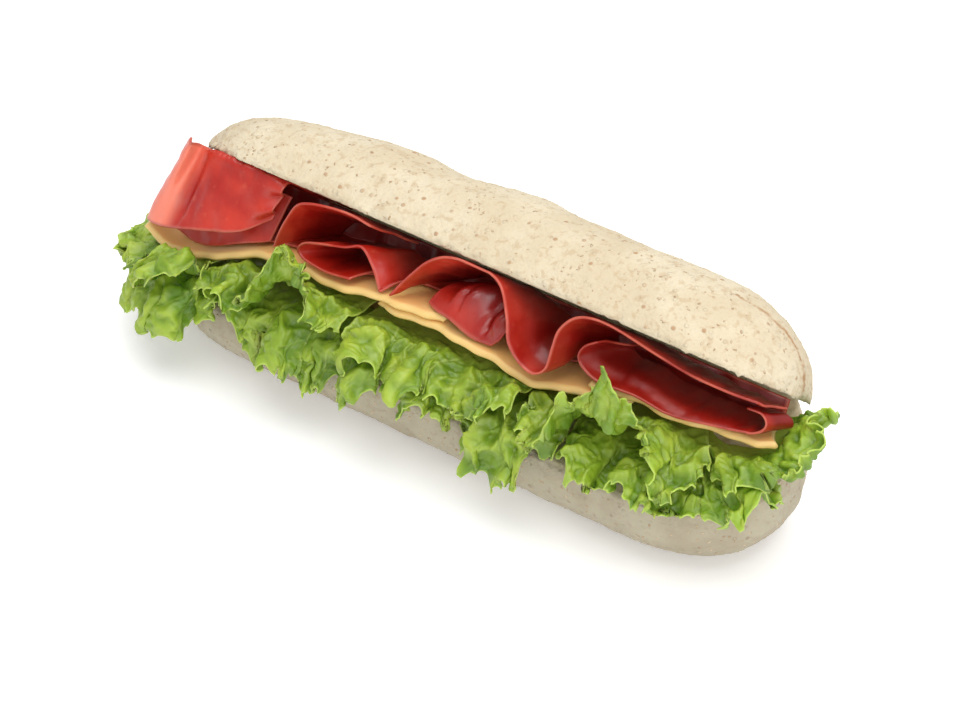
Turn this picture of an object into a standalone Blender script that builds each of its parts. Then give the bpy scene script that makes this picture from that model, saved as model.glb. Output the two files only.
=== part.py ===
"""A submarine sandwich: a small bread roll that is slit from the front and opened at its back crust,
filled with green lettuce, overlapping cheese slices and folded slices of dried red meat.
Lengths are in metres, +X runs along the roll, -Y is the open front, +Z is up. The roll stands on Z = 0."""

import math

import bmesh
import bpy
import numpy as np
from mathutils import Matrix, Vector, noise

CM = 0.01
MM = 0.001

# The whole roll, before it is cut
ROLL_HALF_LENGTH = 11.6 * CM
ROLL_HALF_WIDTH = 3.4 * CM
ROLL_WIDEST_LEVEL = 2.2 * CM      # height of the widest part above the table
ROLL_HEIGHT = 5.85 * CM
ROLL_END_LENGTH = 4.2 * CM        # how much of each end is rounded
ROLL_SQUARENESS = 2.4             # 2 is an ellipse, more is boxier
BASE_FLATTENING = 1.10            # how far the round underside would reach below the table
CRUST_BUMP = 0.5 * MM

# The cut, and how far it is opened
HINGE = Vector((0.0, 2.4 * CM, 3.9 * CM))
KNIFE_SLOPE = math.radians(11.5)  # the cut rises from the front lip to the hinge
OPENING = math.radians(53.5)      # angle between the two cut faces
TOP_SHIFT = 0.3 * CM              # the top half lies a little to the right
TOP_SHRINK = 0.97                 # and its free ends have drawn in
ROOF_FALL = math.tan(OPENING - KNIFE_SLOPE)

# Fillings
GAP = 0.35 * MM
CHEESE_THICKNESS = 2.8 * MM
CHEESE_BACK = 1.2 * CM
CHEESE_ENDS = (-11.5, 11.5)       # cm
CHEESE_END_SLANT = 1.3 * CM       # the right end is cut at a slant, longest in front
MEAT_THICKNESS = 1.3 * MM
MEAT_BED_ENDS = (-10.3, 10.6)     # cm, the slice that lies flat under the folds
MEAT_LEAN = 0.5                   # how far upright slices lean back, per height
ROOF_CLEARANCE = 1.5 * MM         # from their middle surface up to the roof
LEAF_THICKNESS = 0.9 * MM

BREAD = ("bread_crust", (0.84, 0.70, 0.50), 0.85)
CHEESE = ("cheese", (0.93, 0.70, 0.40), 0.45)
MEAT = ("dried_meat", (0.50, 0.05, 0.04), 0.35)
LETTUCE = ("lettuce", (0.36, 0.55, 0.09), 0.5)


def clear_scene():
    for obj in list(bpy.data.objects):
        bpy.data.objects.remove(obj, do_unlink=True)


def material(look):
    name, colour, roughness = look
    found = bpy.data.materials.get(name)
    if found:
        return found
    made = bpy.data.materials.new(name)
    made.use_nodes = True
    shader = made.node_tree.nodes["Principled BSDF"]
    shader.inputs["Base Color"].default_value = (*colour, 1.0)
    shader.inputs["Roughness"].default_value = roughness
    shader.inputs["Metallic"].default_value = 0.0
    return made


def add_object(name, mesh, look, collection):
    obj = bpy.data.objects.new(name, mesh)
    obj.data.materials.append(material(look))
    collection.objects.link(obj)
    return obj


def smoothstep(low, high, value):
    share = min(1.0, max(0.0, (value - low) / (high - low)))
    return share * share * (3 - 2 * share)


def smooth_path(points, count):
    """A smooth curve through the points, as count points at even distances along it."""
    points = np.array(points, float)
    before, after = 2 * points[0] - points[1], 2 * points[-1] - points[-2]
    padded = np.vstack([before, points, after])
    fine = []
    for i in range(1, len(padded) - 2):
        a, b, c, d = padded[i - 1:i + 3]
        for t in np.linspace(0, 1, 16, endpoint=False):
            fine.append(0.5 * (2 * b + (c - a) * t + (2 * a - 5 * b + 4 * c - d) * t ** 2
                               + (3 * b - a - 3 * c + d) * t ** 3))
    fine = np.array(fine + [points[-1]])
    length = np.concatenate([[0], np.cumsum(np.linalg.norm(np.diff(fine, axis=0), axis=1))])
    even = np.linspace(0, length[-1], count)
    return np.stack([np.interp(even, length, fine[:, k]) for k in range(points.shape[1])], axis=1)


# Bread

def roll_half_width(x):
    """Half the roll's width at a place along it: straight in the middle, rounded at the ends."""
    into_end = (abs(x) - (ROLL_HALF_LENGTH - ROLL_END_LENGTH)) / ROLL_END_LENGTH
    return ROLL_HALF_WIDTH * (1 - min(1.0, max(0.0, into_end)) ** 2.3) ** (1 / 2.3)


def crown_share(x):
    """The crown is lower towards the left end and dips and swells once near the middle."""
    x = x / CM
    return (1 - 0.16 * smoothstep(-3.5, -9.5, x) - 0.04 * math.exp(-((x + 2.2) / 1.3) ** 2)
            + 0.03 * math.exp(-((x - 0.6) / 1.2) ** 2))


def roll_point(along, angle):
    """A point of the uncut roll. along runs from -1 to 1 end to end, angle runs round its section."""
    x = ROLL_HALF_LENGTH * (0.2 * along + 0.8 * math.sin(along * math.pi / 2))
    width = roll_half_width(x)
    fullness = (width / ROLL_HALF_WIDTH) ** 0.8
    power = 2 / ROLL_SQUARENESS
    across, up = math.cos(angle), math.sin(angle)
    y = math.copysign(abs(across) ** power, across) * width
    above = (ROLL_HEIGHT - ROLL_WIDEST_LEVEL) * crown_share(x)
    below = ROLL_WIDEST_LEVEL * BASE_FLATTENING
    z = ROLL_WIDEST_LEVEL + math.copysign(abs(up) ** power, up) * (above if up > 0 else below) * fullness
    point = Vector((x, y, z))
    bump = noise.noise(point / (1.3 * CM)) + 0.5 * noise.noise(point / (0.6 * CM))
    outwards = Vector((0, across, up * 0.8))
    point += outwards * CRUST_BUMP * bump
    point.z = max(0.0, point.z)
    return point


def make_roll_mesh(name):
    """The uncut roll, as a round primitive whose rings are moved to the roll's sections."""
    bm = bmesh.new()
    bmesh.ops.create_uvsphere(bm, u_segments=30, v_segments=34, radius=1.0)
    for vert in bm.verts:
        along = 1 - 2 * math.acos(max(-1.0, min(1.0, vert.co.z))) / math.pi
        vert.co = roll_point(along, math.atan2(vert.co.y, vert.co.x))
    bmesh.ops.recalc_face_normals(bm, faces=bm.faces)
    mesh = bpy.data.meshes.new(name)
    bm.to_mesh(mesh)
    bm.free()
    return mesh


def cut_roll(mesh, keep_top):
    """Keeps what lies above or below the knife's plane, and closes the cut."""
    up = Vector((0, -math.sin(KNIFE_SLOPE), math.cos(KNIFE_SLOPE)))
    bm = bmesh.new()
    bm.from_mesh(mesh)
    bmesh.ops.bisect_plane(bm, geom=bm.verts[:] + bm.edges[:] + bm.faces[:], dist=1e-6, plane_co=HINGE,
                           plane_no=up, clear_outer=not keep_top, clear_inner=keep_top)
    bmesh.ops.holes_fill(bm, edges=[e for e in bm.edges if e.is_boundary], sides=0)
    bmesh.ops.recalc_face_normals(bm, faces=bm.faces)
    bm.to_mesh(mesh)
    bm.free()


def make_bread(collection, helpers):
    """Both halves of the cut roll, joined at the strip of crust behind the hinge."""
    lower_mesh = make_roll_mesh("bread_roll")
    top_mesh = make_roll_mesh("top_half")
    cut_roll(lower_mesh, keep_top=False)
    cut_roll(top_mesh, keep_top=True)
    opened = (Matrix.Translation(HINGE + Vector((TOP_SHIFT, 0, 0)))
              @ Matrix.Diagonal((TOP_SHRINK, 1, 1, 1))
              @ Matrix.Rotation(-OPENING, 4, "X") @ Matrix.Translation(-HINGE))
    top_mesh.transform(opened)
    bread = add_object("bread_roll", lower_mesh, BREAD, collection)
    top_half = add_object("top_half", top_mesh, BREAD, helpers)
    join_solids(bread, [top_half])
    bread.data.shade_smooth()
    bread.data.set_sharp_from_angle(angle=math.radians(50))
    return bread


def join_solids(obj, others):
    """Fuses the others into obj with one Boolean union, then removes them."""
    group = bpy.data.collections.new(obj.name + "_pieces")
    for other in others:
        group.objects.link(other)
    union = obj.modifiers.new("join", "BOOLEAN")
    union.operation = "UNION"
    union.operand_type = "COLLECTION"
    union.collection = group
    union.solver = "MANIFOLD"
    bpy.context.view_layer.update()
    evaluated = obj.evaluated_get(bpy.context.evaluated_depsgraph_get())
    joined = bpy.data.meshes.new_from_object(evaluated)
    obj.modifiers.clear()
    obj.data = joined
    for other in others:
        bpy.data.objects.remove(other, do_unlink=True)
    bpy.data.collections.remove(group)


# Sheets: cheese, meat and leaves

def sheet_mesh(name, columns, rows, place, thickness, easing=0.0):
    """A sheet whose middle surface is place(u, v), u and v from 0 to 1, eased and thickened to both sides."""
    bm = bmesh.new()
    bmesh.ops.create_grid(bm, x_segments=columns, y_segments=rows, size=0.5)
    for vert in bm.verts:
        vert.co = place(vert.co.x + 0.5, vert.co.y + 0.5)
    inner = [vert for vert in bm.verts if not vert.is_boundary]
    bmesh.ops.smooth_vert(bm, verts=inner, factor=easing, use_axis_x=True, use_axis_y=True, use_axis_z=True)
    mesh = bpy.data.meshes.new(name)
    bm.to_mesh(mesh)
    bm.free()
    helper = bpy.data.objects.new(name + "_open", mesh)
    bpy.context.scene.collection.objects.link(helper)
    shell = helper.modifiers.new("thickness", "SOLIDIFY")
    shell.thickness = thickness
    shell.offset = 0.0
    bpy.context.view_layer.update()
    solid = bpy.data.meshes.new_from_object(helper.evaluated_get(bpy.context.evaluated_depsgraph_get()))
    bpy.data.objects.remove(helper, do_unlink=True)
    bm = bmesh.new()
    bm.from_mesh(solid)
    bmesh.ops.triangulate(bm, faces=bm.faces)
    bmesh.ops.recalc_face_normals(bm, faces=bm.faces)
    bm.to_mesh(solid)
    bm.free()
    return solid


def fillings_front(x):
    """Depth of the fillings' front edge along the roll: furthest forward at the left end."""
    return (-2.5 - 0.35 * smoothstep(-5, -11, x / CM) + 1.3 * smoothstep(3, 12, x / CM)) * CM


def cheese_line(x):
    """Height of the cheese's underside along its front edge."""
    x = x / CM
    level = 4.75 - 1.0 * smoothstep(-6.5, -9.8, x) + 0.3 * smoothstep(-10.2, -11.8, x)
    level += 0.22 * math.exp(-((x + 5.6) / 0.9) ** 2)
    level += 0.2 * math.exp(-((x + 0.2) / 1.6) ** 2) - 0.3 * math.exp(-((x - 3.7) / 1.2) ** 2)
    return level * CM


def cheese_underside(x, y):
    """Height of the cheese's underside, which falls a little towards the hinge."""
    behind = max(0.0, y - fillings_front(x))
    rear = 4.25 * CM
    share = smoothstep(0, 3.2 * CM, behind)
    return cheese_line(x) * (1 - share) + rear * share


def roof(y):
    """Height of the top half's cut face."""
    return HINGE.z + (HINGE.y - y) * ROOF_FALL


def height_under_roof(y, z, clearance):
    """How high a slice that leans back can rise from (y, z) before it comes near the roof."""
    return (roof(y) - clearance - z) / (1 + MEAT_LEAN * ROOF_FALL)


def cheese_layers(x):
    """How many slices of cheese lie on each other at x: two where they overlap."""
    left = smoothstep(-4.4 * CM, -2.2 * CM, x) * smoothstep(1.6 * CM, 0.5 * CM, x)
    right = smoothstep(4.2 * CM, 5.6 * CM, x) * smoothstep(8.6 * CM, 7.0 * CM, x)
    return 1 + left + right


def cheese_top(x, y):
    """Height of the cheese's upper face."""
    return cheese_underside(x, y) + GAP + cheese_layers(x) * (CHEESE_THICKNESS + GAP)


def bed_front(x):
    """Front edge of the slice that lies flat on the cheese, set back further in the middle."""
    behind = 0.6 + 0.7 * smoothstep(-4 * CM, -1 * CM, x) - 0.8 * smoothstep(6 * CM, 10 * CM, x)
    return fillings_front(x) + behind * CM


def cheese_end(y):
    """Where the slanted right end of the cheese lies at depth y."""
    front = fillings_front(CHEESE_ENDS[1] * CM)
    share = min(1.0, max(0.0, (y - front) / (CHEESE_BACK - front)))
    return CHEESE_ENDS[1] * CM - CHEESE_END_SLANT * share


def meat_bed(x, y):
    """Height that the folded meat lies on: the cheese, and further back the flat slice on it."""
    start, end = MEAT_BED_ENDS
    covered = smoothstep(bed_front(x) - 11 * MM, bed_front(x) - 6 * MM, y)
    covered *= smoothstep((start - 0.5) * CM, (start - 0.1) * CM, x)
    covered *= smoothstep((end + 0.5) * CM, (end + 0.1) * CM, x)
    return cheese_top(x, y) + covered * (GAP + MEAT_THICKNESS)


def make_cheese(name, start, end, laps_over, collection, end_slant=0.0):
    """One slice, laid across the roll on the lettuce; where it laps over the next slice it is lifted.
    Its right edge comes end_slant further left at the back."""

    def place(u, v):
        x = (start + (end - start) * u) * CM - end_slant * u * v
        front = fillings_front(x)
        y = front + (CHEESE_BACK - front) * v
        lift = GAP + CHEESE_THICKNESS / 2
        if laps_over:
            lift += (cheese_layers(x) - 1) * (CHEESE_THICKNESS + GAP)
        return Vector((x, y, cheese_underside(x, y) + lift))

    mesh = sheet_mesh(name, 18, 3, place, CHEESE_THICKNESS)
    return add_object(name, mesh, CHEESE, collection)


# Folded meat: each slice is a ribbon whose front edge follows a curve, and which runs back under the roof

def make_fold(name, curve, backs, slant, columns, collection, climb=0.0, pleat=0.0):
    """A slice folded along the curve of front edge points (x, y, z, all in cm), lying between cheese and
    roof. It runs back to the depths in backs at the curve's start and end, slanting right by slant degrees,
    and rises on the way by climb, a share of the room under the roof. pleat is the depth of its two waves."""
    path = smooth_path(np.array(curve) * CM, columns + 1)
    clear = GAP + MEAT_THICKNESS / 2

    def room(x, y):
        return roof(y) - meat_bed(x, y) - 2 * clear

    def place(u, v):
        x_front, y_front, z_front = path[int(round(u * columns))]
        rear = (backs[0] + (backs[1] - backs[0]) * u) * CM
        y = y_front + (rear - y_front) * v
        y += pleat * math.sin(4 * math.pi * u) * smoothstep(0, 0.3, v) * (1 - v)
        x = x_front + (y - y_front) * math.tan(math.radians(slant))
        height = max(0.0, (z_front - meat_bed(x_front, y_front) - clear) / room(x_front, y_front))
        height += climb * math.sin(math.pi * (0.15 + 0.7 * u)) * (1 - (1 - v) ** 2)
        return Vector((x, y, meat_bed(x, y) + clear + min(0.96, height) * room(x, y)))

    mesh = sheet_mesh(name, columns, 4, place, MEAT_THICKNESS)
    return add_object(name, mesh, MEAT, collection)


def make_end_slice(name, collection):
    """The left slice: folded in half round an upright bend, its open edges towards the middle. Its outer
    half is tucked up under the top half of the roll and lies along it for a little."""
    columns = 30
    tucked = 2.3 * CM
    fold_height = 3.4 * CM
    plan = smooth_path(np.array([(-6.6, -2.2, 6.2), (-7.5, -2.75, 5.7), (-9.2, -3.05, 5.25),
                                 (-10.5, -3.0, 4.8), (-11.3, -2.8, 4.6), (-11.5, -2.5, 4.6),
                                 (-11.2, -2.25, 4.5), (-10.4, -2.35, 4.3), (-9.2, -2.55, 4.2),
                                 (-7.4, -2.35, 5.0), (-6.7, -2.1, 5.3)]) * CM, columns + 1)

    def place(u, v):
        x, y, z = plan[int(round(u * columns))]
        z = max(z, cheese_top(x, y) + GAP + MEAT_THICKNESS)
        bend = smoothstep(-10.3 * CM, -11.4 * CM, x) * smoothstep(-2.1 * CM, -2.6 * CM, y)
        outer = smoothstep(-10.3 * CM, -8.0 * CM, x) if u < 0.5 else 0.0
        upright = 1 - outer / 4
        clearance = ROOF_CLEARANCE if u < 0.5 else 4 * ROOF_CLEARANCE
        full = height_under_roof(y, z, clearance) * (1 - bend) + fold_height * bend
        height = full * min(1.0, v / upright)
        along_roof = 4 * tucked * max(0.0, v - upright)
        x += height * (0.25 + 0.24 * bend) + 0.3 * along_roof
        y += height * (MEAT_LEAN - 0.36 * bend) + along_roof
        return Vector((x, y, z + height - along_roof * ROOF_FALL))

    mesh = sheet_mesh(name, columns, 4, place, MEAT_THICKNESS)
    return add_object(name, mesh, MEAT, collection)


def make_rear_slice(name, collection):
    """The slice under and behind the folds: it lies on the cheese, then turns up in waves to the roof."""
    columns = 30
    flat_share = 0.6
    start, end = MEAT_BED_ENDS

    def place(u, v):
        x = (start + (end - start) * u) * CM
        foot = (0.15 + 0.14 * math.sin(2.4 * x / CM) + 0.06 * math.sin(5.3 * x / CM)) * CM
        y = bed_front(x) + (foot - bed_front(x)) * min(1.0, v / flat_share)
        low = cheese_top(x, y) + GAP + MEAT_THICKNESS / 2
        upright = max(0.0, v - flat_share) / (1 - flat_share)
        under_end_slice = smoothstep(-4.6 * CM, -5.2 * CM, x)
        clearance = ROOF_CLEARANCE * (1 + 3.3 * under_end_slice)
        height = height_under_roof(foot, low, clearance) * upright
        return Vector((x, y + MEAT_LEAN * height, low + height))

    mesh = sheet_mesh(name, columns, 5, place, MEAT_THICKNESS)
    return add_object(name, mesh, MEAT, collection)


# Lettuce: ruffled leaves that come out over the lower lip and hang in front of it

def lip_line():
    """The lower lip seen from above, carried on round both ends: the distance along it from the middle,
    the points and the outward directions."""
    turn = np.linspace(-0.64 * math.pi, 0.64 * math.pi, 241)
    xs = ROLL_HALF_LENGTH * np.sin(turn)
    points = np.array([(x, math.copysign(roll_half_width(x) * 0.97, -math.cos(a))) for x, a in zip(xs, turn)])
    distance = np.concatenate([[0], np.cumsum(np.linalg.norm(np.diff(points, axis=0), axis=1))])
    distance -= distance[120]
    tangent = np.gradient(points, distance, axis=0)
    outwards = np.stack([tangent[:, 1], -tangent[:, 0]], axis=1)
    kernel = np.hanning(25) / np.hanning(25).sum()
    padded = np.pad(outwards, ((12, 12), (0, 0)), mode="edge")
    outwards = np.stack([np.convolve(padded[:, k], kernel, mode="valid") for k in range(2)], axis=1)
    outwards /= np.linalg.norm(outwards, axis=1)[:, None]
    return distance, points, outwards


LIP = lip_line()


def on_lip(s):
    """Point on the lip and outward direction, at distance s from the middle."""
    distance, points, outwards = LIP
    place = Vector([float(np.interp(s, distance, points[:, k])) for k in range(2)])
    out = Vector([float(np.interp(s, distance, outwards[:, k])) for k in range(2)])
    return place, out.normalized()


def ruffle_phase(s):
    """Phase of the big ruffles, shared by all leaves so that they nest; s is in cm."""
    return 2 * math.pi * (s / 2.6 + 0.16 * math.sin(0.9 * s + 0.4) + 0.06 * math.sin(2.3 * s))


def along(stations, s):
    """Value at s of a quantity given as (distance along the lip, value) pairs, in cm."""
    return float(np.interp(s, *zip(*stations)))


# Height of each layer's margin along the lip, and how far its tips stand out from the lip
LOW_MARGIN = [(-13.3, 1.9), (-10.5, 1.4), (-8.6, 1.7), (-7.7, 2.4), (-6.6, 1.7), (-3.4, 1.6), (-1.7, 2.3),
              (-0.3, 2.2), (1.2, 2.9), (2.4, 1.6), (4.2, 1.6), (5.4, 3.0), (7.0, 2.9), (9.0, 3.0),
              (13.4, 3.2)]
HIGH_MARGIN = [(-13.3, 2.7), (-11.8, 2.8), (-10.0, 3.3), (-6.8, 3.5), (-6.0, 5.0), (-5.0, 7.4), (-4.0, 4.9),
               (-3.2, 3.6), (-1.0, 3.4), (4.8, 3.4), (5.6, 5.6), (6.3, 6.2), (6.9, 7.2), (7.4, 6.3),
               (8.2, 5.6), (9.2, 3.9), (11.0, 3.8), (12.0, 5.2), (13.0, 5.8), (14.0, 5.6),
               (15.2, 4.6)]
REACH = [(-13.3, 1.5), (-12.4, 1.9), (-10.7, 1.8), (-9.2, 1.2), (-8.0, 0.8), (8.0, 0.8), (10.5, 0.9),
         (11.8, 1.3), (13.0, 1.15), (13.8, 0.95), (15.2, 0.8)]
LEFT_DROOP = 0.9                  # cm, how much lower the leaves hang round the left end


def leaf_path(s, is_high):
    """Path of a leaf's middle across the lip at s, as (outwards from the lip, height) in cm."""
    lip, outwards = on_lip(s * CM)
    under_cheese = (fillings_front(lip.x) - lip.y) / CM * abs(outwards.y)
    emerges = -min(1.9, max(0.3, under_cheese))
    reach = along(REACH, s)
    droop = LEFT_DROOP * smoothstep(-10.3, -12.0, s)
    root = emerges - 1.2 - 0.8 * smoothstep(9.0, 10.5, s) * smoothstep(13.0, 12.0, s)
    if is_high:
        margin = along(HIGH_MARGIN, s)
        risen = smoothstep(3.8, 6.0, margin)
        points = [(root, 4.1), (emerges - 0.4, 4.2), (emerges + 0.1, 4.35 + 0.2 * risen),
                  (emerges * 0.4 + 0.4 * reach, 4.3 + 0.6 * risen - droop),
                  (reach - 0.5 * risen * abs(emerges), (4.1 + margin) / 2 + 0.3 * risen - droop / 2),
                  (1.15 * reach - 0.8 * risen * abs(emerges), margin)]
    else:
        margin = along(LOW_MARGIN, s)
        level = min(3.6, cheese_line(lip.x) / CM - 0.7) - droop / 3
        points = [(emerges - 1.2, level), (emerges - 0.2, level), (emerges * 0.3, level - 0.1),
                  (0.45 * reach, min(3.35, level)),
                  (0.9 * reach, 0.45 * 3.4 + 0.55 * margin), (1.05 * reach, margin)]
    return smooth_path(points, 31)


def make_leaf(name, span, is_high, wave, rows, columns, seed, collection):
    """A leaf lying along the lip over span (cm). wave is how far its margin ruffles."""
    start, end = span
    steps = np.linspace(0, 1, 31)

    def place(u, v):
        s = start + (end - start) * u
        corner = smoothstep(0, 0.14, u) * smoothstep(1, 0.86, u)
        tooth = abs(math.sin(math.pi * s / 0.72 + seed))
        lobe = 0.5 + 0.5 * math.sin(2 * math.pi * s / 2.1 + 2.2 * seed)
        reach = v * (0.82 + 0.18 * corner - (0.09 * tooth + 0.07 * lobe) * v ** 2)
        path = leaf_path(s, is_high)
        slope = np.gradient(path, axis=0)
        out, up, dout, dup = [float(np.interp(reach, steps, row)) for row in (*path.T, *slope.T)]
        length = math.hypot(dout, dup)
        risen = smoothstep(3.8, 6.0, along(HIGH_MARGIN, s)) if is_high else 0.0
        ruffle = wave * smoothstep(0.15, 0.95, reach) * (1 - 0.5 * risen)
        phase = ruffle_phase(s)
        lap = (0.2 + 0.1 * smoothstep(0.3, 0.8, reach)) * (u - 0.5)
        shift = lap + ruffle * (math.sin(phase) + 0.3 * math.sin(2.1 * phase))
        shift += 0.1 * smoothstep(0.5, 0.95, reach) * math.sin(2 * math.pi * s / 0.95)
        s -= 0.3 * ruffle * math.sin(2 * phase)
        out -= shift * dup / length
        up += shift * dout / length
        inwards = 1 - 0.45 * smoothstep(9.5, 13, abs(s))
        lip, outwards = on_lip(s * CM)
        x, y = lip + outwards * out * CM * (inwards if out < 0 else 1)
        floor = HINGE.z - (HINGE.y - y) * math.tan(KNIFE_SLOPE) + GAP + LEAF_THICKNESS
        ceiling = cheese_underside(x, y) - LEAF_THICKNESS
        beyond = max(fillings_front(x) - y, x - cheese_end(y))
        ceiling += 4 * max(0.0, beyond - 5 * MM)      # free to rise in front of the cheese
        up = min(up * CM, ceiling + (lap - 0.1) * CM)
        if out < 0.3:
            up = max(up, floor + (lap + 0.1) * CM)
        return Vector((x, y, up))

    mesh = sheet_mesh(name, columns, rows, place, LEAF_THICKNESS, easing=0.4)
    return add_object(name, mesh, LETTUCE, collection)


def make_lettuce(collection):
    make_leaf("lettuce_leaf_1", (-13.1, -7.5), False, 0.41, 5, 32, 0.3, collection)
    make_leaf("lettuce_leaf_2", (-7.4, -0.9), False, 0.41, 5, 34, 1.7, collection)
    make_leaf("lettuce_leaf_3", (-0.8, 5.1), False, 0.41, 5, 32, 3.1, collection)
    make_leaf("lettuce_leaf_4", (5.2, 12.6), False, 0.41, 5, 34, 4.6, collection)
    make_leaf("lettuce_leaf_5", (-12.6, -8.7), True, 0.40, 4, 28, 0.9, collection)
    make_leaf("lettuce_leaf_6", (-8.6, -2.9), True, 0.40, 4, 32, 2.4, collection)
    make_leaf("lettuce_leaf_7", (-2.8, 3.7), True, 0.40, 4, 34, 5.2, collection)
    make_leaf("lettuce_leaf_8", (3.8, 10.3), True, 0.40, 4, 36, 4.1, collection)
    make_leaf("lettuce_leaf_9", (10.4, 14.9), True, 0.40, 4, 26, 2.9, collection)


def make_meat(collection):
    make_end_slice("meat_slice_1", collection)
    make_fold("meat_slice_2", [(-6.3, -2.45, 5.4), (-6.15, -2.4, 5.9), (-5.9, -2.3, 6.5), (-5.5, -2.2, 7.2),
                               (-5.0, -2.2, 7.5), (-4.3, -2.1, 7.6), (-3.5, -2.0, 7.6), (-2.8, -1.9, 7.4)],
              (-0.35, -0.35), 25, 18, collection)
    make_fold("meat_slice_3", [(-2.0, -2.5, 5.2), (-2.1, -2.45, 5.7), (-2.4, -2.35, 6.3),
                               (-2.9, -2.25, 6.75), (-3.5, -2.35, 6.55), (-4.4, -2.45, 6.35),
                               (-5.0, -2.5, 6.15), (-5.25, -2.5, 5.8), (-5.0, -2.5, 5.5),
                               (-4.2, -2.5, 5.3), (-3.2, -2.5, 5.2)],
              (-0.45, -0.8), 27, 28, collection)
    make_fold("meat_slice_4", [(-1.6, -2.5, 5.6), (-1.35, -2.35, 6.0), (-0.9, -2.3, 6.6), (-0.4, -2.2, 7.2),
                               (0.2, -2.1, 7.6), (0.9, -2.0, 7.7), (1.7, -2.0, 7.7), (2.4, -2.2, 7.5),
                               (2.9, -2.6, 6.8), (3.1, -2.8, 6.1), (3.5, -2.8, 5.5), (4.0, -2.8, 5.3),
                               (4.4, -2.7, 5.6), (4.5, -2.5, 6.3), (4.6, -2.3, 6.9), (5.0, -2.1, 7.4),
                               (5.6, -2.0, 7.6), (6.4, -1.9, 7.5), (7.8, -1.8, 7.1), (9.0, -1.7, 6.8),
                               (10.2, -1.5, 6.6), (11.0, -1.3, 6.5)], (-0.35, -0.35), 25, 50, collection)
    make_fold("meat_slice_5", [(-0.3, -2.2, 5.3), (0.2, -2.4, 5.2), (0.9, -2.45, 5.1), (1.5, -2.4, 5.0),
                               (2.0, -2.3, 5.1), (2.4, -2.25, 5.5)],
              (-0.45, -0.45), 25, 18, collection, climb=0.8, pleat=0.45 * CM)
    make_fold("meat_slice_6", [(5.7, -1.9, 6.7), (5.35, -2.0, 6.45), (5.2, -2.1, 6.1), (5.4, -2.15, 5.75),
                               (6.1, -2.2, 5.5), (7.6, -2.05, 5.3), (9.0, -1.85, 5.2), (10.2, -1.6, 5.25),
                               (11.0, -1.35, 5.4), (11.25, -1.2, 5.7), (11.05, -1.15, 6.0),
                               (10.6, -1.2, 6.05)], (-0.35, -0.35), 25, 28, collection)
    make_rear_slice("meat_slice_7", collection)


def centre_on_table(collection):
    """Moves everything so that the bounding box stands on Z = 0 with its base centred on the origin."""
    points = np.array([vert.co for obj in collection.objects for vert in obj.data.vertices])
    low, high = points.min(axis=0), points.max(axis=0)
    shift = Matrix.Translation((-(low[0] + high[0]) / 2, -(low[1] + high[1]) / 2, -low[2]))
    for obj in collection.objects:
        obj.data.transform(shift)


def main():
    clear_scene()
    sandwich = bpy.data.collections.new("submarine_sandwich")
    helpers = bpy.data.collections.new("cutters")
    bpy.context.scene.collection.children.link(sandwich)
    bpy.context.scene.collection.children.link(helpers)
    make_bread(sandwich, helpers)
    make_cheese("cheese_slice_1", CHEESE_ENDS[0], 0.3, True, sandwich)
    make_cheese("cheese_slice_2", -2.1, 6.9, False, sandwich)
    make_cheese("cheese_slice_3", 5.7, CHEESE_ENDS[1], True, sandwich, CHEESE_END_SLANT)
    make_meat(sandwich)
    make_lettuce(sandwich)
    centre_on_table(sandwich)


main()
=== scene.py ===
import math

import bmesh
import bpy
import numpy as np
from mathutils import Matrix, Vector, noise


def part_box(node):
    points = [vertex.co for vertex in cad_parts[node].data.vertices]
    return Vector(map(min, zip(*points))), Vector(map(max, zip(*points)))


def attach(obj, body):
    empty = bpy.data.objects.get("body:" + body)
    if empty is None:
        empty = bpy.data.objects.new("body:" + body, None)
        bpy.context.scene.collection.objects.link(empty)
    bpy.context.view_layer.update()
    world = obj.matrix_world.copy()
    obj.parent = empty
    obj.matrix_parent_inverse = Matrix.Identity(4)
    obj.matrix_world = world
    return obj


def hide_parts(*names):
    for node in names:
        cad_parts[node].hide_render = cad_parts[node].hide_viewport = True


print("loading the frame")
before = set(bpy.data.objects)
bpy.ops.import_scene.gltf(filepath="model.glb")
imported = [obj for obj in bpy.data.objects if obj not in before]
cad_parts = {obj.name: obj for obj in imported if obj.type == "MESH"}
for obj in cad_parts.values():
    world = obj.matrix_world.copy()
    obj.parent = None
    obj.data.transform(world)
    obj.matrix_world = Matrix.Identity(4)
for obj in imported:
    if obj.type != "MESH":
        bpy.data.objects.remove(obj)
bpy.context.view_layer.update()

# Sizes are in cm, and places are measured from the middle of the roll; rowShift carries them to the frame
cm = 0.01
breadBox = np.array(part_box("bread_roll")) / cm
breadCorner = (-11.598, -3.415, 0.0)    # low corner of the bread, measured from the middle of the roll
rowShift = breadBox[0] - breadCorner


def smoothStep(low, high, value):
    share = np.clip((np.asarray(value, float) - low) / (high - low), 0, 1)
    return share * share * (3 - 2 * share)


def smoothPath(points, count):
    points = np.array(points, float)
    padded = np.vstack([2 * points[0] - points[1], points, 2 * points[-1] - points[-2]])
    t = np.linspace(0, 1, 16, endpoint=False)[:, None]
    fine = []
    for i in range(1, len(padded) - 2):
        a, b, c, d = padded[i - 1:i + 3]
        fine.append(0.5 * (2 * b + (c - a) * t + (2 * a - 5 * b + 4 * c - d) * t ** 2
                           + (3 * b - a - 3 * c + d) * t ** 3))
    fine = np.vstack(fine + [points[-1:]])
    length = np.concatenate([[0], np.cumsum(np.linalg.norm(np.diff(fine, axis=0), axis=1))])
    even = np.linspace(0, length[-1], count)
    return np.stack([np.interp(even, length, fine[:, k]) for k in range(points.shape[1])], axis=1)


def noiseAt(points, size, seed=0.0):
    return np.array([noise.noise((x / size + seed, y / size - seed, z / size + 0.7 * seed))
                     for x, y, z in points])


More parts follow.
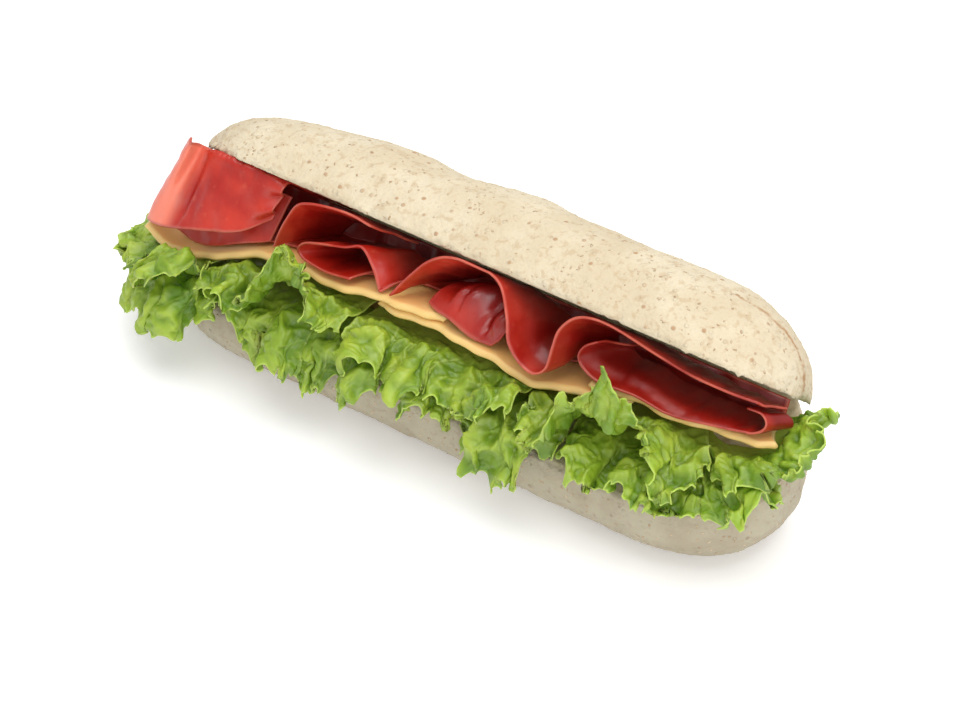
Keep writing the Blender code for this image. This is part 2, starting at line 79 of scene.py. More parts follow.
def meshFrom(name, verts, faces):
    mesh = bpy.data.meshes.new(name)
    mesh.from_pydata([tuple(p) for p in verts], [], faces)
    mesh.update()
    return mesh


def addLayer(mesh, name, values):
    layer = mesh.attributes.new(name, "FLOAT", "POINT")
    layer.data.foreach_set("value", values.astype(float))


def addObject(name, data):
    added = bpy.data.objects.new(name, data)
    bpy.context.scene.collection.objects.link(added)
    return added


def addPiece(name, mesh, material, nodes):
    piece = addObject(name, mesh)
    mesh.materials.clear()
    mesh.materials.append(material)
    mesh.shade_smooth()
    if nodes:
        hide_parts(*nodes)
    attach(piece, "root")
    return piece


def bakeModifiers(piece):
    bpy.context.view_layer.update()
    mesh = bpy.data.meshes.new_from_object(piece.evaluated_get(bpy.context.evaluated_depsgraph_get()))
    piece.modifiers.clear()
    piece.data = mesh
    return mesh


# Shader helpers

def newMaterial(name):
    material = bpy.data.materials.new(name)
    material.use_nodes = True
    return material, material.node_tree, material.node_tree.nodes["Principled BSDF"]


def addNode(tree, kind, inputs=None, **settings):
    node = tree.nodes.new(kind)
    for key, value in settings.items():
        setattr(node, key, value)
    for key, value in (inputs or {}).items():
        if isinstance(value, bpy.types.NodeSocket):
            tree.links.new(value, node.inputs[key])
        else:
            node.inputs[key].default_value = value
    return node


def mixColour(tree, share, first, second, blend="MIX"):
    node = addNode(tree, "ShaderNodeMix", data_type="RGBA", blend_type=blend)
    for key, value in ((0, share), (6, first), (7, second)):
        if isinstance(value, bpy.types.NodeSocket):
            tree.links.new(value, node.inputs[key])
        else:
            node.inputs[key].default_value = value if key == 0 else (*value, 1.0)
    return node.outputs[2]


def remap(tree, value, fromLow, fromHigh, toLow=0.0, toHigh=1.0):
    node = addNode(tree, "ShaderNodeMapRange", {"Value": value, "From Min": fromLow, "From Max": fromHigh,
                                                "To Min": toLow, "To Max": toHigh}, clamp=True)
    node.interpolation_type = "SMOOTHSTEP"
    return node.outputs[0]


def mottleGroup():
    # soft blotches and fine speckle on Object coordinates, used by every food surface
    group = bpy.data.node_groups.new("mottle", "ShaderNodeTree")
    for name, value in (("blotch size", 90.0), ("speckle size", 600.0)):
        socket = group.interface.new_socket(name=name, in_out="INPUT", socket_type="NodeSocketFloat")
        socket.default_value = value
    for name in ("blotches", "speckle"):
        group.interface.new_socket(name=name, in_out="OUTPUT", socket_type="NodeSocketFloat")
    inside = addNode(group, "NodeGroupInput")
    outside = addNode(group, "NodeGroupOutput")
    place = addNode(group, "ShaderNodeTexCoord").outputs["Object"]
    for k, detail in enumerate((4.0, 2.0)):
        grain = addNode(group, "ShaderNodeTexNoise", {"Vector": place, "Scale": inside.outputs[k],
                                                      "Detail": detail})
        group.links.new(grain.outputs["Fac"], outside.inputs[k])
    return group


mottle = mottleGroup()


def addMottle(tree, blotchSize, speckleSize):
    node = addNode(tree, "ShaderNodeGroup")
    node.node_tree = mottle
    node.inputs[0].default_value = blotchSize
    node.inputs[1].default_value = speckleSize
    return node.outputs[0], node.outputs[1]


def attribute(tree, name):
    return addNode(tree, "ShaderNodeAttribute", attribute_name=name).outputs["Fac"]


def multiply(tree, first, second):
    return addNode(tree, "ShaderNodeMath", {0: first, 1: second}, operation="MULTIPLY").outputs[0]


def addBump(tree, shader, height, strength, distance):
    bump = addNode(tree, "ShaderNodeBump", {"Height": height, "Strength": strength, "Distance": distance})
    tree.links.new(bump.outputs[0], shader.inputs["Normal"])


def setSubsurface(shader, weight, radius):
    shader.inputs["Subsurface Weight"].default_value = weight
    shader.inputs["Subsurface Radius"].default_value = radius    # metres for red, green and blue
    shader.inputs["Subsurface Scale"].default_value = 1.0


# Looks: sizes of blotches and speckle, strength and height of the bump, and colours; of two colours
# in one bracket the blotches make patches

# the second, darker set of crust colours, with its grit and flecks, is painted shade for the lower half and
# the back of the roll
breadLook = {"mottle": (55.0, 900.0), "bump": (0.5, 0.0008), "roughness": 0.92,
             "subsurface": (0.08, (0.004, 0.003, 0.002)), "gritSize": 330.0, "fleckSize": 260.0,
             "crust": ((0.575, 0.485, 0.335), (0.63, 0.55, 0.40)), "speckle": (0.50, 0.38, 0.24),
             "grit": (0.46, 0.33, 0.19), "fleck": (0.44, 0.27, 0.15), "seam": (0.36, 0.19, 0.08),
             "base": ((0.36, 0.31, 0.22), (0.42, 0.375, 0.275)), "baseGrit": (0.33, 0.26, 0.18),
             "baseFleck": (0.31, 0.24, 0.17), "crumb": ((0.66, 0.56, 0.38), (0.74, 0.66, 0.48))}


def breadMaterial():
    material, tree, shader = newMaterial("flouredCrust")
    place = addNode(tree, "ShaderNodeTexCoord").outputs["Object"]
    blotches, speckle = addMottle(tree, *breadLook["mottle"])
    grit = addNode(tree, "ShaderNodeTexNoise", {"Vector": place, "Scale": breadLook["gritSize"],
                                                "Detail": 3.0, "Roughness": 0.6, "Distortion": 0.4})
    gritMask = remap(tree, grit.outputs["Fac"], 0.52, 0.66)
    patches = remap(tree, blotches, 0.35, 0.65)
    crust = mixColour(tree, patches, *breadLook["crust"])
    crust = mixColour(tree, remap(tree, speckle, 0.5, 0.75, 0.0, 0.3), crust, breadLook["speckle"])
    crust = mixColour(tree, multiply(tree, gritMask, 0.5), crust, breadLook["grit"])
    flecks = addNode(tree, "ShaderNodeTexVoronoi", {"Vector": place, "Scale": breadLook["fleckSize"],
                                                    "Randomness": 1.0})
    fleckCentre = remap(tree, flecks.outputs["Distance"], 0.10, 0.24, 1.0, 0.0)
    fleckPick = addNode(tree, "ShaderNodeSeparateColor", {"Color": flecks.outputs["Color"]})
    fleckMask = multiply(tree, fleckCentre, remap(tree, fleckPick.outputs[0], 0.62, 0.8))
    crust = mixColour(tree, fleckMask, crust, breadLook["fleck"])
    # painted shade: the lower half and the back get the darker, greyer crust colours
    base = mixColour(tree, patches, *breadLook["base"])
    base = mixColour(tree, multiply(tree, gritMask, 0.35), base, breadLook["baseGrit"])
    base = mixColour(tree, fleckMask, base, breadLook["baseFleck"])
    crust = mixColour(tree, attribute(tree, "paintedShade"), crust, base)
    crust = mixColour(tree, attribute(tree, "crease"), crust, breadLook["seam"])
    crumb = mixColour(tree, remap(tree, blotches, 0.3, 0.7), *breadLook["crumb"])
    tree.links.new(mixColour(tree, attribute(tree, "crumb"), crust, crumb), shader.inputs["Base Color"])
    shader.inputs["Roughness"].default_value = breadLook["roughness"]
    setSubsurface(shader, *breadLook["subsurface"])
    grain = addNode(tree, "ShaderNodeMath", {0: speckle, 1: fleckCentre}, operation="ADD").outputs[0]
    addBump(tree, shader, grain, *breadLook["bump"])
    return material


cheeseLook = {"mottle": (60.0, 700.0), "bump": (0.15, 0.0003), "roughness": (0.38, 0.5),
              "subsurface": (0.25, (0.003, 0.0018, 0.0009)),
              "face": ((0.86, 0.49, 0.16), (0.90, 0.56, 0.21)), "rim": (0.82, 0.55, 0.20)}


def cheeseMaterial():
    material, tree, shader = newMaterial("paleCheese")
    blotches, speckle = addMottle(tree, *cheeseLook["mottle"])
    colour = mixColour(tree, remap(tree, blotches, 0.35, 0.65), *cheeseLook["face"])
    colour = mixColour(tree, attribute(tree, "rim"), colour, cheeseLook["rim"])
    tree.links.new(colour, shader.inputs["Base Color"])
    tree.links.new(remap(tree, blotches, 0.3, 0.7, *cheeseLook["roughness"]), shader.inputs["Roughness"])
    setSubsurface(shader, *cheeseLook["subsurface"])
    addBump(tree, shader, speckle, *cheeseLook["bump"])
    return material


# the inside colour is painted shade deep in under the top half; the pale coral is painted light on the end
# slice's bend
meatLook = {"mottle": (70.0, 420.0), "bump": (0.25, 0.0004), "roughness": (0.28, 0.46),
            "subsurface": (0.12, (0.003, 0.0008, 0.0006)), "coat": 0.1, "coatRoughness": 0.2,
            "lean": ((0.38, 0.010, 0.005), (0.54, 0.030, 0.012)), "speckle": (0.62, 0.10, 0.05),
            "inside": (0.14, 0.004, 0.003), "paintedLight": (0.86, 0.22, 0.14), "rim": (0.50, 0.09, 0.055)}


def meatMaterial():
    material, tree, shader = newMaterial("driedMeat")
    blotches, speckle = addMottle(tree, *meatLook["mottle"])
    colour = mixColour(tree, remap(tree, blotches, 0.35, 0.68), *meatLook["lean"])
    colour = mixColour(tree, remap(tree, speckle, 0.6, 0.78, 0.0, 0.3), colour, meatLook["speckle"])
    # painted shade: darker deeper in under the top half and towards the right
    colour = mixColour(tree, multiply(tree, attribute(tree, "inside"), 0.8), colour, meatLook["inside"])
    # painted light: lighter coral on the end slice's bend
    colour = mixColour(tree, attribute(tree, "paintedLight"), colour, meatLook["paintedLight"])
    edge = multiply(tree, attribute(tree, "rim"), remap(tree, blotches, 0.38, 0.6, 0.2, 1.0))
    colour = mixColour(tree, edge, colour, meatLook["rim"])
    tree.links.new(colour, shader.inputs["Base Color"])
    tree.links.new(remap(tree, blotches, 0.3, 0.7, *meatLook["roughness"]), shader.inputs["Roughness"])
    shader.inputs["Coat Weight"].default_value = meatLook["coat"]
    shader.inputs["Coat Roughness"].default_value = meatLook["coatRoughness"]
    setSubsurface(shader, *meatLook["subsurface"])
    addBump(tree, shader, speckle, *meatLook["bump"])
    return material


# the hollow colours are painted shade in the folds; the crown colours are painted light on the crests
leafLook = {"mottle": (80.0, 500.0), "bump": (0.25, 0.0004), "roughness": (0.34, 0.5),
            "subsurface": (0.35, (0.0012, 0.002, 0.0004)),
            "shadedHollow": ((0.107, 0.205, 0.010), (0.18, 0.295, 0.018)), "inner": (0.31, 0.39, 0.06),
            "crown": ((0.23, 0.345, 0.02), (0.345, 0.45, 0.04)), "vein": (0.345, 0.45, 0.09),
            "rim": (0.40, 0.52, 0.09)}


def lettuceMaterial():
    material, tree, shader = newMaterial("greenLeaf")
    blotches, speckle = addMottle(tree, *leafLook["mottle"])
    patches = remap(tree, blotches, 0.35, 0.65)
    shadedHollow = mixColour(tree, patches, *leafLook["shadedHollow"])
    crown = mixColour(tree, patches, *leafLook["crown"])
    # painted shade in the folds and painted light on the crests, placed by the crest share
    colour = mixColour(tree, attribute(tree, "crest"), shadedHollow, crown)
    for name in ("inner", "vein", "rim"):
        colour = mixColour(tree, attribute(tree, name), colour, leafLook[name])
    tree.links.new(colour, shader.inputs["Base Color"])
    tree.links.new(remap(tree, speckle, 0.3, 0.7, *leafLook["roughness"]), shader.inputs["Roughness"])
    setSubsurface(shader, *leafLook["subsurface"])
    addBump(tree, shader, speckle, *leafLook["bump"])
    return material


flakeLook = {"mottle": (260.0, 900.0), "bump": (0.3, 0.0003), "roughness": 0.8,
             "face": ((0.42, 0.29, 0.17), (0.58, 0.46, 0.31))}


def flakeMaterial():
    material, tree, shader = newMaterial("branFlake")
    blotches, speckle = addMottle(tree, *flakeLook["mottle"])
    colour = mixColour(tree, remap(tree, blotches, 0.4, 0.6), *flakeLook["face"])
    tree.links.new(colour, shader.inputs["Base Color"])
    shader.inputs["Roughness"].default_value = flakeLook["roughness"]
    addBump(tree, shader, speckle, *flakeLook["bump"])
    return material


# Bread

roll = {"halfLength": 11.6, "halfWidth": 3.4, "widestLevel": 2.2, "height": 5.85, "endLength": 4.2,
        "squareness": 2.4, "baseFlattening": 1.10, "bump": 0.05, "rings": 200, "segments": 150,
        "voxel": 0.115, "smoothing": 2, "crustRoughness": 0.03, "lipRaggedness": 0.12,
        "pores": 0.05}
cut = {"hingeY": 2.4, "hingeZ": 3.9, "knifeSlope": math.radians(11.5), "opening": math.radians(53.5),
       "topShift": 0.3, "topShrink": 0.97}


def rollHalfWidth(x):
    intoEnd = np.clip((np.abs(x) - (roll["halfLength"] - roll["endLength"])) / roll["endLength"], 0, 1)
    return roll["halfWidth"] * (1 - intoEnd ** 2.3) ** (1 / 2.3)


def crownShare(x):
    return (1 - 0.16 * smoothStep(-3.5, -9.5, x) - 0.04 * np.exp(-((x + 2.2) / 1.3) ** 2)
            + 0.03 * np.exp(-((x - 0.6) / 1.2) ** 2))


def rollPoints(along, angle):
    x = roll["halfLength"] * (0.2 * along + 0.8 * np.sin(along * math.pi / 2))
    width = rollHalfWidth(x)
    fullness = (width / roll["halfWidth"]) ** 0.8
    power = 2 / roll["squareness"]
    across, up = np.cos(angle), np.sin(angle)
    y = np.sign(across) * np.abs(across) ** power * width
    above = (roll["height"] - roll["widestLevel"]) * crownShare(x)
    below = roll["widestLevel"] * roll["baseFlattening"]
    z = roll["widestLevel"] + np.sign(up) * np.abs(up) ** power * np.where(up > 0, above, below) * fullness
    points = np.stack([x, y, z], axis=1)
    bump = noiseAt(points, 1.3) + 0.5 * noiseAt(points, 0.6)
    outwards = np.stack([0 * x, across, up * 0.8], axis=1)
    points += outwards * (roll["bump"] * bump)[:, None]
    points[:, 2] = np.maximum(0.0, points[:, 2])
    return points


def halfRoll(name, keepTop):
    bm = bmesh.new()
    bmesh.ops.create_uvsphere(bm, u_segments=roll["segments"], v_segments=roll["rings"], radius=1.0)
    co = np.array([vert.co for vert in bm.verts])
    along = 1 - 2 * np.arccos(np.clip(co[:, 2], -1, 1)) / math.pi
    for vert, point in zip(bm.verts, rollPoints(along, np.arctan2(co[:, 1], co[:, 0]))):
        vert.co = point
    hinge = Vector((0, cut["hingeY"], cut["hingeZ"]))
    up = Vector((0, -math.sin(cut["knifeSlope"]), math.cos(cut["knifeSlope"])))
    bmesh.ops.bisect_plane(bm, geom=bm.verts[:] + bm.edges[:] + bm.faces[:], dist=1e-5, plane_co=hinge,
                           plane_no=up, clear_outer=not keepTop, clear_inner=keepTop)
    bmesh.ops.holes_fill(bm, edges=[edge for edge in bm.edges if edge.is_boundary], sides=0)
    bmesh.ops.recalc_face_normals(bm, faces=bm.faces)
    mesh = bpy.data.meshes.new(name)
    bm.to_mesh(mesh)
    bm.free()
    return addObject(name, mesh)


def openingTurn():
    hinge = Vector((0, cut["hingeY"], cut["hingeZ"]))
    moved = Matrix.Translation(hinge + Vector((cut["topShift"], 0, 0)))
    shrunk = Matrix.Diagonal((cut["topShrink"], 1, 1, 1))
    return moved @ shrunk @ Matrix.Rotation(-cut["opening"], 4, "X") @ Matrix.Translation(-hinge)


def makeBread(material):
    lower = halfRoll("breadRoll", False)
    top = halfRoll("topHalf", True)
    top.data.transform(openingTurn())
    joining = lower.modifiers.new("join", "BOOLEAN")
    joining.operation = "UNION"
    joining.solver = "MANIFOLD"
    joining.object = top
    bakeModifiers(lower)
    bpy.data.objects.remove(top, do_unlink=True)
    grid = lower.modifiers.new("grid", "REMESH")
    grid.mode = "VOXEL"
    grid.voxel_size = roll["voxel"]
    mesh = bakeModifiers(lower)
    bpy.data.objects.remove(lower, do_unlink=True)
    bm = bmesh.new()
    bm.from_mesh(mesh)
    for _ in range(roll["smoothing"]):
        bmesh.ops.smooth_vert(bm, verts=bm.verts, factor=0.5, use_axis_x=True, use_axis_y=True,
                              use_axis_z=True)
    bm.to_mesh(mesh)
    bm.free()
    shapeCrust(mesh)
    return addPiece("breadRollCrust", mesh, material, ["bread_roll"])


def shapeCrust(mesh):
    # finds the cut faces and the lower half and back that get painted shade, roughens the crust and frays the
    # lips
    count = len(mesh.vertices)
    points = np.empty(count * 3)
    normals = np.empty(count * 3)
    mesh.vertices.foreach_get("co", points)
    mesh.vertex_normals.foreach_get("vector", normals)
    points, normals = points.reshape(-1, 3), normals.reshape(-1, 3)
    hinge = np.array([0, cut["hingeY"], cut["hingeZ"]])
    knife = np.array([0, -math.sin(cut["knifeSlope"]), math.cos(cut["knifeSlope"])])
    tilt = cut["opening"] - cut["knifeSlope"]
    roofNormal = np.array([0, -math.sin(tilt), -math.cos(tilt)])
    toFloor = np.abs((points - hinge) @ knife)
    toRoof = np.abs((points - hinge) @ roofNormal)
    inFront = points[:, 1] < cut["hingeY"] + 0.05
    onFloor = smoothStep(0.75, 0.95, normals @ knife) * smoothStep(0.12, 0.05, toFloor) * inFront
    onRoof = smoothStep(0.75, 0.95, normals @ roofNormal) * smoothStep(0.12, 0.05, toRoof) * inFront
    crumb = np.maximum(onFloor, onRoof)
    nearLip = np.maximum(smoothStep(0.35, 0.02, toFloor), smoothStep(0.35, 0.02, toRoof)) * (1 - crumb)
    nearLip *= points[:, 1] < 1.5
    coarse, fine, grain = noiseAt(points, 0.55, 3.0), noiseAt(points, 0.24, 5.0), noiseAt(points, 0.13, 9.0)
    height = (1 - crumb) * roll["crustRoughness"] * (coarse + 0.8 * fine + 0.5 * grain)
    height -= crumb * roll["pores"] * smoothStep(0.0, 0.6, np.abs(coarse) + 0.6 * grain)
    height += nearLip * roll["lipRaggedness"] * (0.8 * coarse + fine + 0.4 * grain)
    height *= smoothStep(0.0, 0.15, points[:, 2])
    points = points + normals * height[:, None]
    points[:, 2] = np.maximum(points[:, 2], 0.0)
    # painted shade: marks the lower half and the back of the roll, which stand in shade, for the darker crust
    # colours
    isTop = ((points - hinge) @ roofNormal) < 0.15
    isTop &= points[:, 2] > cut["hingeZ"] - 1.0
    atBack = smoothStep(0.4, 2.2, points[:, 1])
    paintedShade = np.where(isTop, 0.0, smoothStep(4.2, 2.6, points[:, 2])) * (1 - atBack)
    paintedShade += atBack * smoothStep(3.8, 0.6, points[:, 2])
    mesh.vertices.foreach_set("co", ((points + rowShift) * cm).ravel())
    for name, values in (("crumb", crumb), ("paintedShade", paintedShade), ("crease", creaseShare(points))):
        addLayer(mesh, name, values)
    mesh.update()


seam = {"angles": (0.9, 1.0, 1.12, 1.25, 1.31, 1.5), "places": (8.2, 9.5, 10.3, 10.95, 11.35, 11.5),
        "halfWidth": 0.22, "from": 0.92, "to": 1.42}


def creaseShare(points):
    # a darker brown line along the crease that runs round the right end of the top half
    back = openingTurn().inverted()
    local = points @ np.array(back.to_3x3()).T + np.array(back.translation)
    angle = np.arctan2(local[:, 2] - roll["widestLevel"], -local[:, 1])
    line = np.interp(angle, seam["angles"], seam["places"])
    line = line + 0.1 * noiseAt(local, 0.5, 2.0)
    near = smoothStep(seam["halfWidth"], 0.03, np.abs(local[:, 0] - line))
    patchy = 0.35 + 0.65 * smoothStep(-0.45, 0.15, noiseAt(local, 0.3, 7.0))
    inStretch = (angle > seam["from"]) * (angle < seam["to"])
    return near * patchy * inStretch * (local[:, 2] > cut["hingeZ"] - 1.2)


# Sheets

def gridNormals(grid):
    along, across = np.gradient(grid, axis=0), np.gradient(grid, axis=1)
    normal = np.cross(along, across)
    return normal / np.maximum(1e-9, np.linalg.norm(normal, axis=2))[:, :, None]


def sheetMesh(name, grid, thickness, layers):
    # a closed sheet round the grid of middle points, with a rounded rim; layers are per-point values
    columns, rows = grid.shape[:2]
    normal = gridNormals(grid) * thickness / 2
    border = [(i, 0) for i in range(columns)] + [(columns - 1, j) for j in range(1, rows)]
    border += [(i, rows - 1) for i in range(columns - 2, -1, -1)] + [(0, j) for j in range(rows - 2, 0, -1)]
    outwards = []
    for i, j in border:
        inI, inJ = min(max(i, 1), columns - 2), min(max(j, 1), rows - 2)
        away = grid[i, j] - grid[inI, inJ]
        outwards.append(grid[i, j] + away / max(1e-9, np.linalg.norm(away)) * thickness * 0.4)
    count = columns * rows
    verts = np.vstack([(grid + normal).reshape(-1, 3), (grid - normal).reshape(-1, 3), np.array(outwards)])
    faces = []
    for i in range(columns - 1):
        for j in range(rows - 1):
            a, b, c, d = i * rows + j, (i + 1) * rows + j, (i + 1) * rows + j + 1, i * rows + j + 1
            faces.append((a, b, c, d))
            faces.append((count + d, count + c, count + b, count + a))
    size = len(border)
    for k in range(size):
        p, q = border[k], border[(k + 1) % size]
        a, b = p[0] * rows + p[1], q[0] * rows + q[1]
        m, n = 2 * count + k, 2 * count + (k + 1) % size
        faces.append((a, m, n, b))
        faces.append((m, count + a, count + b, n))
    mesh = meshFrom(name, (verts + rowShift) * cm, faces)
    edge = [i * rows + j for i, j in border]
    for layerName, values in layers.items():
        flat = values.reshape(-1)
        addLayer(mesh, layerName, np.concatenate([flat, flat, flat[edge]]))
    bm = bmesh.new()
    bm.from_mesh(mesh)
    bmesh.ops.recalc_face_normals(bm, faces=bm.faces)
    bm.to_mesh(mesh)
    bm.free()
    return mesh


def rimShare(grid, width, sides=(True, True, True, True)):
    # 1 on the sheet's edges, falling to 0 at width; sides are start, end, front, back
    columns, rows = grid.shape[:2]
    across = np.concatenate([[0], np.cumsum(np.linalg.norm(np.diff(grid.mean(axis=1), axis=0), axis=1))])
    stepLengths = np.linalg.norm(np.diff(grid, axis=1), axis=2)
    deep = np.cumsum(np.concatenate([np.zeros((columns, 1)), stepLengths], axis=1), axis=1)
    distance = np.full((columns, rows), 99.0)
    if sides[0]:
        distance = np.minimum(distance, across[:, None])
    if sides[1]:
        distance = np.minimum(distance, (across[-1] - across)[:, None])
    if sides[2]:
        distance = np.minimum(distance, deep)
    if sides[3]:
        distance = np.minimum(distance, deep[:, -1:] - deep)
    return smoothStep(width, 0.0, distance)


# Cheese

cheese = {"thickness": 0.28, "gap": 0.035, "back": 1.2, "ends": (-11.5, 11.5), "endSlant": 1.3,
          "columns": 110, "rows": 36}


def fillingsFront(x):
    return -2.5 - 0.35 * smoothStep(-5, -11, x) + 1.3 * smoothStep(3, 12, x)


def cheeseLine(x):
    level = 4.75 - 1.0 * smoothStep(-6.5, -9.8, x) + 0.3 * smoothStep(-10.2, -11.8, x)
    level = level + 0.22 * np.exp(-((x + 5.6) / 0.9) ** 2)
    return level + 0.2 * np.exp(-((x + 0.2) / 1.6) ** 2) - 0.3 * np.exp(-((x - 3.7) / 1.2) ** 2)


def cheeseUnderside(x, y):
    share = smoothStep(0, 3.2, np.maximum(0.0, y - fillingsFront(x)))
    return cheeseLine(x) * (1 - share) + 4.25 * share


def cheeseLayers(x):
    left = smoothStep(-4.4, -2.2, x) * smoothStep(1.6, 0.5, x)
    right = smoothStep(4.2, 5.6, x) * smoothStep(8.6, 7.0, x)
    return 1 + left + right


def cheeseTop(x, y):
    return cheeseUnderside(x, y) + cheese["gap"] + cheeseLayers(x) * (cheese["thickness"] + cheese["gap"])


def cheeseEnd(y):
    # the right end is cut at a slant, longest in front
    front = fillingsFront(cheese["ends"][1])
    return cheese["ends"][1] - cheese["endSlant"] * np.clip((y - front) / (cheese["back"] - front), 0, 1)


def makeCheese(name, node, start, end, lapsOver, material, endSlant=0.0):
    u = np.linspace(0, 1, cheese["columns"])[:, None]
    v = np.linspace(0, 1, cheese["rows"])[None, :]
    x = start + (end - start) * u - endSlant * u * v
    wobble = 0.04 * np.sin(2.7 * x + 1.3) + 0.03 * np.sin(6.1 * x)
    front = fillingsFront(x) + wobble * (1 - v)
    y = front + (cheese["back"] - front) * v
    corner = 0.25 * smoothStep(0.5, 0.0, (x - start)) * smoothStep(0.15, 0, v)
    corner = corner + 0.25 * smoothStep(0.5, 0.0, (end - x)) * smoothStep(0.15, 0, v)
    y = y + corner * 0.6
    z = cheeseUnderside(x, y) + cheese["gap"] + cheese["thickness"] / 2
    if lapsOver:
        z = z + (cheeseLayers(x) - 1) * (cheese["thickness"] + cheese["gap"])
    grid = np.stack([x, y, z], axis=2)
    mesh = sheetMesh(name, grid, cheese["thickness"] * 0.94, {"rim": rimShare(grid, 0.08)})
    return addPiece(name, mesh, material, [node])


# Meat

meat = {"thickness": 0.13, "gap": 0.035, "finer": 5, "rows": 30, "wrinkle": 0.07, "shownThickness": 0.075,
        "bedEnds": (-10.3, 10.6), "lean": 0.5, "roofClearance": 0.15, "tuckClearance": 0.06}
roofFall = math.tan(cut["opening"] - cut["knifeSlope"])


def roof(y):
    return cut["hingeZ"] + (cut["hingeY"] - y) * roofFall


def heightUnderRoof(y, z, clearance):
    return (roof(y) - clearance - z) / (1 + meat["lean"] * roofFall)


def bedFront(x):
    # front edge of the slice that lies flat on the cheese
    return fillingsFront(x) + 0.6 + 0.7 * smoothStep(-4, -1, x) - 0.8 * smoothStep(6, 10, x)


def meatBed(x, y):
    start, end = meat["bedEnds"]
    covered = smoothStep(-1.1, -0.6, y - bedFront(x))
    covered = covered * smoothStep(start - 0.5, start - 0.1, x) * smoothStep(end + 0.5, end + 0.1, x)
    return cheeseTop(x, y) + covered * (meat["gap"] + meat["thickness"])


def makeFold(name, node, curve, backs, slant, columns, material, climb=0.0, pleat=0.0, creases=()):
    # a slice folded along a curve of front edge points, running back between the bed and the roof
    columns = columns * meat["finer"]
    path = smoothPath(curve, columns + 1)
    xFront, yFront, zFront = [path[:, k][:, None] for k in range(3)]
    u = np.linspace(0, 1, columns + 1)[:, None]
    v = np.linspace(0, 1, meat["rows"])[None, :]
    clear = meat["gap"] + meat["thickness"] / 2

    def room(x, y):
        return roof(y) - meatBed(x, y) - 2 * clear

    rear = backs[0] + (backs[1] - backs[0]) * u
    y = yFront + (rear - yFront) * v
    y = y + pleat * np.sin(4 * math.pi * u) * smoothStep(0, 0.3, v) * (1 - v)
    for place, width, depth in creases:
        y = y + depth * np.exp(-((u - place) / width) ** 2) * smoothStep(0, 0.2, v) * (1 - v)
    x = xFront + (y - yFront) * math.tan(math.radians(slant))
    height = np.maximum(0.0, (zFront - meatBed(xFront, yFront) - clear) / room(xFront, yFront))
    height = height + climb * np.sin(math.pi * (0.15 + 0.7 * u)) * (1 - (1 - v) ** 2)
    z = meatBed(x, y) + clear + np.minimum(0.96, height) * room(x, y)
    return finishMeat(name, node, np.stack([x, y, z], axis=2), (True, True, True, False), material)


def finishMeat(name, node, grid, sides, material, paintedLight=None):
    # wrinkles run back from the front edge; shade is painted on the sheet, darker on its way in under the top
    # half and towards the right, and painted light can be given for the end slice's bend
    columns, rows = grid.shape[:2]
    stretched = grid.reshape(-1, 3) * (1.0, 0.35, 0.6)
    wrinkle = noiseAt(stretched, 0.62, 4.0) + 0.5 * noiseAt(stretched, 0.3, 8.0)
    wrinkle = wrinkle - 0.25 * np.abs(noiseAt(stretched, 0.8, 2.0))
    lift = meat["wrinkle"] * wrinkle.reshape(columns, rows)
    # painted shade: the sheet darkens deeper in under the top half and towards the right; the end slice gets
    # only a little
    deep = np.linspace(0, 1, rows)[None, :] + 0 * grid[:, :, 0]
    towardsRight = smoothStep(-3.0, 6.0, grid[:, :, 0])
    if paintedLight is None:
        paintedLight = 0 * deep
        inside = np.clip(smoothStep(0.05, 0.7, deep) + 0.5 * towardsRight, 0, 1)
        lift = lift * smoothStep(0, 0.25, deep)
    else:
        inside = 0.15 * deep
    grid = grid + gridNormals(grid) * lift[:, :, None]
    layers = {"rim": rimShare(grid, 0.035, sides), "inside": inside, "paintedLight": paintedLight}
    mesh = sheetMesh(name, grid, meat["shownThickness"], layers)
    return addPiece(name, mesh, material, [node])


endSlice = {"columns": 30, "tucked": 2.3, "foldHeight": 3.4, "frill": 0.16}


